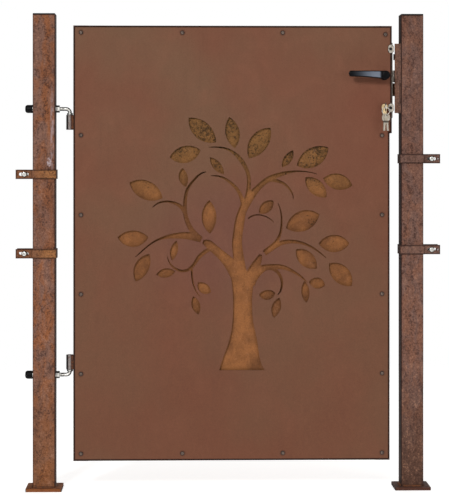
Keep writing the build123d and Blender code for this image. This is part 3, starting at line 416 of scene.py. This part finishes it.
def frame_rust():
    """The leaf's tubes, the lock box, the keep and the fence clamps, with painted shade on their side faces
    and along the clamps' edges.
    """
    def faint(f):
        return f.calc("MULTIPLY", f.band(f.z, 0.4, 1.3), 0.4)

    f, colour = tube_rust(
        "frame_rust_finish", tone(138, 86, 52), tone(116, 78, 58), tone(98, 62, 44), faint
    )
    strap = f.band(f.x, LEFT_POST[0].x - 0.02, LEFT_POST[1].x)
    strap = f.both(strap, f.band(f.x, LEFT_POST[1].x + 0.012, LEFT_POST[1].x + 0.006))
    colour = f.mix(f.calc("MULTIPLY", strap, 0.6), colour, tone(180, 122, 70))
    lock_side = f.band(f.x, SHEET[1].x - 0.01, RIGHT_POST[0].x)
    colour = f.mix(f.calc("MULTIPLY", lock_side, 0.65), colour, tone(106, 84, 78))
    colour, roughness, normal = rust_surface(f, colour, 1.0, 0.9)
    # painted shade: faces turned away from the front and the bands along the clamps' edges go dark brown
    edge_shade = f.either(f.band(f.calc("ABSOLUTE", f.facing_y), 0.75, 0.4), strap_rim_shade(f))
    colour = f.mix(f.calc("MULTIPLY", edge_shade, 0.75), colour, tone(38, 19, 14))
    return f.paint(colour, roughness, normal)


def turned_steel():
    """The weld-on barrels: turned steel going brown, with painted shade, dark red-brown on the side facing +X
    and near black at the left side where it turns away, which leaves a grey band between them as a painted
    highlight.
    """
    f = Finish("bare_steel_finish", Metallic=0.4)
    rings = f.noise(90, 3, 0.6, stretch=(0.2, 0.2, 9))
    stain = f.noise(160, 4, 0.7, shift=(2, 2, 2), warp=0.8)
    colour = f.mix(f.band(stain, 0.45, 0.7), tone(146, 138, 134), tone(112, 74, 62))
    # painted shade in dark red-brown on the side facing +X
    right_side_shade = f.band(f.facing_x, 0.05, 0.5)
    colour = f.mix(f.calc("MULTIPLY", right_side_shade, 0.9), colour, tone(86, 34, 26))
    # painted shade, near black, on the left side where it turns away
    dark = f.band(f.facing_x, -0.25, -0.6)
    colour = f.mix(dark, colour, tone(28, 22, 22))
    colour = f.mix(f.range(f.band(rings, 0.45, 0.7), 0.0, 0.3), colour, tone(60, 44, 40))
    roughness = f.range(stain, 0.35, 0.75)
    return f.paint(colour, roughness, f.bump(rings, 0.2, 0.0004, f.bump(stain, 0.3, 0.0004)))


def weld_steel():
    """Weld metal: blued steel between patches of rust, with its heat tint in the ripples."""
    f = Finish("weld_steel_finish", Metallic=0.2, Specular_IOR_Level=0.25)
    rust = f.noise(190, 4, 0.75, warp=0.6)
    colour = f.mix(f.band(rust, 0.38, 0.62), tone(82, 56, 46), tone(124, 76, 46))
    colour = f.mix(f.band(f.cells(420), 0.3, 0.1), colour, tone(48, 30, 24))
    return f.paint(colour, f.range(rust, 0.6, 0.95), f.bump(rust, 0.5, 0.0008))


def plated(name, bright, dull, edges, low, high, brown=0.0, metal=1.0, drawn=(1, 1, 1)):
    """Plated or bright metal: drawing lines, water marks, a little tarnish, and painted shade where it turns
    away from the front.
    """
    f = Finish(name, Metallic=metal)
    marks = f.noise(130, 4, 0.65, shift=(1, 4, 2), warp=0.5)
    lines = f.noise(700, 2, 0.5, stretch=drawn, shift=(5, 1, 3))
    colour = f.mix(f.band(marks, 0.35, 0.7), bright, dull)
    freckles = f.band(f.noise(520, 3, 0.75, shift=(9, 9, 1)), 0.62, 0.74)
    colour = f.mix(f.calc("MULTIPLY", freckles, brown), colour, tone(120, 84, 58))
    # painted shade: faces that turn away from the front go near black, which outlines round parts
    grazing_shade = f.band(f.calc("ABSOLUTE", f.facing_y), 0.97, 0.84)
    colour = f.mix(f.calc("MULTIPLY", grazing_shade, edges), colour, tone(22, 19, 19))
    roughness = f.calc("ADD", f.range(marks, low, high), f.calc("MULTIPLY", freckles, brown))
    return f.paint(colour, roughness, f.bump(lines, 0.12, 0.0002, f.bump(marks, 0.1, 0.0004)))


def key_steel():
    """The spare keys: nickel-bright blades, with dark finger grime where each bow narrows to its blade, and
    painted shade on the faces that turn away from the front.
    """
    f = Finish("key_finish", Metallic=0.2)
    low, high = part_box("spare_keys")
    share = f.band(f.z, low.z, high.z)
    grip = f.both(f.band(share, 0.40, 0.50), f.band(share, 0.66, 0.56))
    marks = f.noise(160, 4, 0.65, shift=(2, 2, 5), warp=0.5)
    colour = f.mix(f.band(marks, 0.4, 0.7), tone(255, 246, 230), tone(238, 218, 190))
    colour = f.mix(f.calc("MULTIPLY", grip, 0.85), colour, tone(34, 26, 22))
    # painted shade: faces that turn away from the front go dark
    rim_shade = f.band(f.calc("ABSOLUTE", f.facing_y), 0.9, 0.6)
    colour = f.mix(f.calc("MULTIPLY", rim_shade, 0.7), colour, tone(40, 32, 28))
    return f.paint(colour, f.range(marks, 0.3, 0.5), f.bump(marks, 0.15, 0.0003))


def coated(name, base, worn, low, high, grain, gloss):
    """Black coating, plastic or rubber: a fine moulded grain, paler where hands rub it."""
    f = Finish(name, Specular_IOR_Level=gloss)
    skin = f.noise(grain, 3, 0.6, shift=(1, 1, 6))
    rub = f.noise(55, 4, 0.6, shift=(3, 7, 2), warp=0.4)
    colour = f.mix(f.range(f.band(rub, 0.45, 0.75), 0.0, 0.6), base, worn)
    return f.paint(colour, f.range(rub, low, high), f.bump(skin, 0.18, 0.0003))


def lever_coat_with_highlight():
    """The levers' satin black, with a painted bluish-grey highlight on the grip beside the hub; painted shade
    keeps every side face black.
    """
    f = Finish("lever_coat_finish", Specular_IOR_Level=0.1)
    low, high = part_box("front_handle")
    length = high.x - low.x
    rub = f.noise(70, 4, 0.6, stretch=(0.4, 1, 1), shift=(3, 7, 2), warp=0.4)
    along = f.both(
        f.band(f.x, low.x - 0.05 * length, low.x + 0.72 * length),
        f.band(f.x, low.x + 0.80 * length, low.x + 0.74 * length),
    )
    # painted highlight: bluish grey on the front face beside the hub, fading towards the tip; side faces stay
    # black as painted shade
    face = f.band(f.calc("ABSOLUTE", f.facing_y), 0.86, 0.97)
    lever_highlight = f.both(f.both(f.calc("POWER", along, 1.6), face), f.range(rub, 0.6, 1.1))
    colour = f.mix(lever_highlight, tone(6, 6, 8), tone(122, 130, 144))
    skin = f.noise(1400, 3, 0.6, shift=(1, 1, 6))
    return f.paint(colour, f.range(rub, 0.3, 0.5), f.bump(skin, 0.15, 0.0003))


FINISHES = {
    "sheet_rust": sheet_rust(),
    "backing_rust": backing_rust(),
    "frame_rust": frame_rust(),
    "post_rust": post_rust(),
    "bare_steel": turned_steel(),
    "weld_steel": weld_steel(),
    "zinc_plated_steel": plated(
        "zinc_finish", tone(240, 238, 232), tone(208, 205, 198), 0.94, 0.25, 0.45, 0.15, 0.6
    ),
    "bright_steel": plated(
        "bright_steel_finish", tone(246, 238, 226), tone(222, 212, 198), 0.8, 0.3, 0.5, 0.1, 0.3, (1, 1, 0.1)
    ),
    "cylinder_brass": plated(
        "brass_finish", tone(250, 226, 180), tone(222, 188, 132), 0.75, 0.3, 0.5, 0.15, 0.3
    ),
    "black_coated_metal": coated(
        "black_coat_finish", tone(5, 5, 6), tone(12, 13, 15), 0.3, 0.5, 1400, 0.1
    ),
    "dark_screw_steel": plated(
        "screw_finish", tone(122, 104, 92), tone(84, 66, 56), 0.95, 0.5, 0.7, 0.5, 0.2
    ),
    "black_plastic": coated(
        "black_plastic_finish", tone(5, 5, 6), tone(12, 12, 13), 0.42, 0.6, 900, 0.12
    ),
    "black_rubber": coated(
        "black_rubber_finish", tone(12, 12, 12), tone(26, 24, 23), 0.7, 0.9, 700, 0.2
    ),
}

for node in NODES.values():
    for place, slot in enumerate(node.material_slots):
        slot.material = FINISHES[node.data.materials[place].name.split(".")[0]]
NODES["spare_keys"].material_slots[0].material = key_steel()
NODES["lock_faceplate"].material_slots[0].material = plated(
    "faceplate_finish", tone(206, 196, 182), tone(150, 142, 132), 0.94, 0.3, 0.5, 0.3, 0.6
)
NODES["faceplate_screws"].material_slots[0].material = plated(
    "black_screw_finish", tone(20, 19, 19), tone(44, 40, 38), 0.9, 0.45, 0.7, 0.3, 0.3
)


# ---------------------------------------------------------------- pieces that only the looks need

def add_piece(name, mesh, body, slot):
    """Puts a finished bmesh in the scene, on a body, with a slot's finish."""
    data = bpy.data.meshes.new(name)
    mesh.to_mesh(data)
    mesh.free()
    for polygon in data.polygons:
        polygon.use_smooth = True
    data.materials.append(FINISHES[slot])
    piece = bpy.data.objects.new(name, data)
    SCENE.collection.objects.link(piece)
    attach(piece, body)
    return piece


def close_ends(mesh, rings):
    mesh.faces.new(list(reversed(rings[0])))
    mesh.faces.new(rings[-1])


def join_rings(mesh, rings):
    """Faces between one ring of corners and the next."""
    for first, second in zip(rings, rings[1:]):
        count = len(first)
        for place in range(count):
            after = (place + 1) % count
            mesh.faces.new((first[place], first[after], second[after], second[place]))


def bead(mesh, start, end, inward, up, leg, seed):
    """One run of rippled weld metal in the corner between two faces, whose directions are inward and up."""
    dice = random.Random(seed)
    start, end = Vector(start), Vector(end)
    inward, up = Vector(inward), Vector(up)
    length = (end - start).length
    steps = max(6, round(length / 0.0011))
    rings = []
    for step in range(steps + 1):
        share = step / steps
        ripple = 1 + 0.10 * math.cos(share * length / 0.0033 * math.tau)
        taper = min(1.0, 0.45 + 9 * min(share, 1 - share))
        size = leg * ripple * taper * dice.uniform(0.96, 1.04)
        centre = start.lerp(end, share)
        ring = [mesh.verts.new(centre + inward * 0.0004 - up * 0.0004)]
        for turn in range(7):
            angle = math.pi / 2 * turn / 6
            bulge = 1 - 0.12 * math.sin(2 * angle)
            reach = -inward * math.cos(angle) + up * math.sin(angle)
            ring.append(mesh.verts.new(centre + reach * size * bulge))
        rings.append(ring)
    join_rings(mesh, rings)
    close_ends(mesh, rings)


def foot_welds(side):
    """The weld right round a post where it stands on its base plate."""
    low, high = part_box(f"{side}_post")
    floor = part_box(f"{side}_base_plate")[1].z
    left, right = low.x + POST_CORNER, high.x - POST_CORNER
    front, back = low.y + POST_CORNER, high.y - POST_CORNER
    up = (0, 0, 1)
    mesh = bmesh.new()
    for sign in (-1, 1):
        y = low.y if sign < 0 else high.y
        bead(mesh, (left, y, floor), (right, y, floor), (0, -sign, 0), up, FOOT_WELD_LEG, sign)
        x = low.x if sign < 0 else high.x
        bead(mesh, (x, front, floor), (x, back, floor), (-sign, 0, 0), up, FOOT_WELD_LEG, 5 + sign)
    bmesh.ops.recalc_face_normals(mesh, faces=mesh.faces)
    add_piece(f"{side}_foot_welds", mesh, "posts", "weld_steel")


def flat_bead(mesh, start, end, out, width, seed):
    """A dressed weld run on a flat face, a low rippled ridge that stands out of it."""
    dice = random.Random(seed)
    start, end, out = Vector(start), Vector(end), Vector(out)
    length = (end - start).length
    across = (end - start).normalized().cross(out)
    steps = max(6, round(length / 0.0011))
    rings = []
    for step in range(steps + 1):
        share = step / steps
        ripple = 1 + 0.08 * math.cos(share * length / 0.003 * math.tau)
        size = width / 2 * ripple * min(1.0, 0.5 + 8 * min(share, 1 - share)) * dice.uniform(0.95, 1.05)
        centre = start.lerp(end, share)
        ring = [mesh.verts.new(centre - out * 0.0004)]
        for turn in range(9):
            angle = math.pi * turn / 8
            offset = across * math.cos(angle) * size + out * math.sin(angle) * size * 0.45
            ring.append(mesh.verts.new(centre + offset))
        rings.append(ring)
    join_rings(mesh, rings)
    close_ends(mesh, rings)


def frame_welds():
    """The seams where the leaf's rails meet its stiles, on the rear face of the frame."""
    mesh = bmesh.new()
    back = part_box("left_stile")[1].y
    out = (0, 1, 0)
    for number, (rail, other) in enumerate((("top_rail", "lock_box"), ("bottom_rail", "right_stile"))):
        low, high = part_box(rail)
        for x in (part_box("left_stile")[1].x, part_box(other)[0].x):
            start, end = (x, back, low.z + 0.002), (x, back, high.z - 0.004)
            flat_bead(mesh, start, end, out, SEAM_WIDTH, 20 + number)
    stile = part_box("right_stile")
    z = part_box("lock_box")[0].z
    start, end = (stile[0].x + 0.002, back, z), (stile[1].x - 0.002, back, z)
    flat_bead(mesh, start, end, out, SEAM_WIDTH, 31)
    bmesh.ops.recalc_face_normals(mesh, faces=mesh.faces)
    add_piece("frame_seam_welds", mesh, "leaf", "weld_steel")


def thread(name, start, end, radius, pitch, body, slot):
    """A rolled thread: one helical ridge on a rod of that radius, from start to end."""
    start, end = Vector(start), Vector(end)
    axis = (end - start).normalized()
    side = axis.orthogonal().normalized()
    length = (end - start).length
    per_turn = 20
    steps = round((length - pitch) / pitch * per_turn)
    mesh = bmesh.new()
    rings = []
    for step in range(steps + 1):
        turn = Quaternion(axis, math.tau * step / per_turn)
        out = turn @ side
        centre = start + axis * (pitch / 2 + (length - pitch) * step / steps)
        crest = min(1.0, 0.2 + min(step, steps - step) / 8)
        half = axis * pitch * 0.42
        ring = [
            mesh.verts.new(centre + out * (radius - 0.0002) - half),
            mesh.verts.new(centre + out * (radius + pitch * 0.26 * crest) - half * 0.18),
            mesh.verts.new(centre + out * (radius + pitch * 0.26 * crest) + half * 0.18),
            mesh.verts.new(centre + out * (radius - 0.0002) + half),
        ]
        rings.append(ring)
    join_rings(mesh, rings)
    close_ends(mesh, rings)
    bmesh.ops.recalc_face_normals(mesh, faces=mesh.faces)
    add_piece(name, mesh, body, slot)


def lever(side):
    """A door lever: a rounded bar that swells from its tip and runs into a round hub with a neck."""
    low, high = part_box(f"{side}_handle")
    out = -1 if side == "front" else 1
    face = low.y if out < 0 else high.y
    root = high.y if out < 0 else low.y
    hub_radius = (high.z - low.z) / 2
    hub = Vector((high.x - hub_radius, 0, (low.z + high.z) / 2))
    mesh = bmesh.new()
    rings = []
    for step in range(LEVER_STEPS + 1):
        share = step / LEVER_STEPS
        x = low.x + (hub.x - low.x) * share
        swell = min(1.0, math.sqrt(max(0.0, 1 - (1 - min(1.0, share / 0.07)) ** 2)) + 0.02)
        tall = (LEVER_TIP_HEIGHT + (2 * hub_radius - LEVER_TIP_HEIGHT) * share ** 2) * swell
        deep = LEVER_DEPTH * (0.72 + 0.28 * swell)
        top = high.z - (LEVER_TIP_HEIGHT * (1 - swell)) / 2
        set_back = 0.0005 + 0.0035 * share ** 3
        centre = Vector((x, face - out * (set_back + deep / 2), top - tall / 2))
        ring = []
        for turn in range(LEVER_SIDES):
            angle = math.tau * turn / LEVER_SIDES
            y = math.copysign(abs(math.cos(angle)) ** 0.6, math.cos(angle)) * deep / 2
            z = math.copysign(abs(math.sin(angle)) ** 0.6, math.sin(angle)) * tall / 2
            ring.append(mesh.verts.new(centre + Vector((0, y, z))))
        rings.append(ring)
    join_rings(mesh, rings)
    close_ends(mesh, rings)
    rings = []
    for reach, radius in LEVER_HUB_PROFILE:
        y = face + (root - face) * reach
        ring = []
        for turn in range(LEVER_SIDES * 2):
            angle = math.tau * turn / (LEVER_SIDES * 2)
            side_step = Vector((math.cos(angle), 0, math.sin(angle))) * hub_radius * radius
            ring.append(mesh.verts.new(Vector((hub.x, y, hub.z)) + side_step))
        rings.append(ring)
    join_rings(mesh, rings)
    close_ends(mesh, rings)
    bmesh.ops.recalc_face_normals(mesh, faces=mesh.faces)
    piece = add_piece(f"{side}_lever", mesh, "handles", "black_coated_metal")
    piece.data.materials[0] = LEVER_COAT_WITH_HIGHLIGHT
    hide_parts(f"{side}_handle")


POST_CORNER = 0.004
FOOT_WELD_LEG = 0.0045
SEAM_WIDTH = 0.006
ROD_RADIUS = 0.005
THREAD_PITCH = 0.0015
THREAD_LENGTH = 0.014
LEVER_COAT_WITH_HIGHLIGHT = lever_coat_with_highlight()
LEVER_STEPS = 40
LEVER_SIDES = 24
LEVER_DEPTH = 0.012
LEVER_TIP_HEIGHT = 0.016
LEVER_HUB_PROFILE = (
    (0.03, 0.30), (0.03, 0.78), (0.045, 0.90), (0.075, 0.97), (0.12, 0.995),
    (0.40, 0.995), (0.47, 0.94), (0.52, 0.80), (0.58, 0.74), (1.0, 0.74),
)

for handle_side in ("front", "rear"):
    lever(handle_side)
for post_side in ("left", "right"):
    foot_welds(post_side)
frame_welds()
for level in ("upper", "lower"):
    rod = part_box(f"{level}_hinge_hook")
    height = rod[1].z - ROD_RADIUS if level == "upper" else rod[0].z + ROD_RADIUS
    nut_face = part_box("hinge_inner_nuts")[1].x
    thread(
        f"{level}_hook_thread",
        (nut_face, 0, height),
        (nut_face + THREAD_LENGTH, 0, height),
        ROD_RADIUS,
        THREAD_PITCH,
        "posts",
        "zinc_plated_steel",
    )


# ---------------------------------------------------------------- studio

def world_light():
    """Soft studio surroundings, bright ahead of the gate, behind and above it, and plain white to look at."""
    world = bpy.data.worlds.new("studio")
    SCENE.world = world
    world.use_nodes = True
    tree = world.node_tree
    tree.nodes.clear()
    direction = tree.nodes.new("ShaderNodeTexCoord").outputs["Generated"]
    parts = tree.nodes.new("ShaderNodeSeparateXYZ")
    tree.links.new(direction, parts.inputs[0])

    def calc(operation, first, second=0.0, clamp=False):
        made = tree.nodes.new("ShaderNodeMath")
        made.operation = operation
        made.use_clamp = clamp
        for socket, value in zip(made.inputs, (first, second)):
            if is_socket(value):
                tree.links.new(value, socket)
            else:
                socket.default_value = value
        return made.outputs[0]

    front = calc("POWER", calc("MULTIPLY", parts.outputs["Y"], -1.0, clamp=True), 2.0)
    rear = calc("POWER", calc("MULTIPLY", parts.outputs["Y"], 1.0, clamp=True), 2.0)
    above = calc("POWER", calc("MULTIPLY", parts.outputs["Z"], 1.0, clamp=True), 1.5)
    light = calc("ADD", AMBIENT["all"], calc("MULTIPLY", front, AMBIENT["front"]))
    light = calc("ADD", light, calc("MULTIPLY", rear, AMBIENT["rear"]))
    light = calc("ADD", light, calc("MULTIPLY", above, AMBIENT["above"]))
    seen = tree.nodes.new("ShaderNodeLightPath").outputs["Is Camera Ray"]
    strength = calc("ADD", calc("MULTIPLY", calc("SUBTRACT", 1.0, seen), light), seen)
    background = tree.nodes.new("ShaderNodeBackground")
    background.inputs["Color"].default_value = (1, 1, 1, 1)
    tree.links.new(strength, background.inputs["Strength"])
    output = tree.nodes.new("ShaderNodeOutputWorld")
    tree.links.new(background.outputs[0], output.inputs[0])


def soft_light(name, place, width, height, power, colour=(1, 1, 1)):
    """A large rectangular light aimed at the middle of the gate."""
    data = bpy.data.lights.new(name, "AREA")
    data.shape = "RECTANGLE"
    data.size, data.size_y = width, height
    data.energy = power
    data.color = colour
    lamp = bpy.data.objects.new(name, data)
    SCENE.collection.objects.link(lamp)
    lamp.location = place
    lamp.rotation_mode = "QUATERNION"
    lamp.rotation_quaternion = (GATE_MIDDLE - Vector(place)).to_track_quat("-Z", "Y")
    lamp.visible_camera = False


def floor():
    """A pale round floor that fades out to the white surroundings."""
    mesh = bmesh.new()
    bmesh.ops.create_circle(mesh, cap_ends=True, segments=96, radius=FLOOR_RADIUS)
    data = bpy.data.meshes.new("studio_floor")
    mesh.to_mesh(data)
    mesh.free()
    disc = bpy.data.objects.new("studio_floor", data)
    SCENE.collection.objects.link(disc)
    f = Finish("floor_finish", Specular_IOR_Level=0.1)
    distance = f.node("ShaderNodeVectorMath", {0: f.place}, "Value", operation="LENGTH")
    f.put(f.shader.inputs["Alpha"], f.band(distance, FLOOR_RADIUS, FLOOR_RADIUS * 0.35))
    f.shader.inputs["Emission Color"].default_value = (1, 1, 1, 1)
    f.shader.inputs["Emission Strength"].default_value = FLOOR_GLOW
    mottling = f.noise(3, 3, 0.5)
    data.materials.append(f.paint(f.mix(mottling, tone(236, 236, 235), tone(242, 242, 241)), 0.9))


AMBIENT = {"all": 0.06, "front": 0.24, "rear": 0.35, "above": 0.40}
FLOOR_RADIUS = 3.2
FLOOR_GLOW = 0.55

SCENE.view_settings.view_transform = "Standard"
world_light()
floor()
soft_light("key", (-1.7, -4.5, 2.8), 1.0, 1.0, 138)
soft_light("fill", (2.8, -4.0, 1.6), 2.0, 2.4, 42)
soft_light("rear_fill", (1.6, 4.2, 3.0), 2.6, 2.2, 90)


# ---------------------------------------------------------------- camera

CAMERA_DISTANCE = 4.80
CAMERA_SIDE = -0.130
CAMERA_HEIGHT = 0.88
CAMERA_TURN = 1.43

camera_data = bpy.data.cameras.new("camera")
camera_data.sensor_width = 36.0
camera_data.lens = 128.7
camera_data.shift_y = -0.1732
camera = bpy.data.objects.new("camera", camera_data)
SCENE.collection.objects.link(camera)
camera.location = (CAMERA_SIDE, -CAMERA_DISTANCE, CAMERA_HEIGHT)
camera.rotation_euler = (math.radians(90), 0, math.radians(-CAMERA_TURN))
SCENE.camera = camera
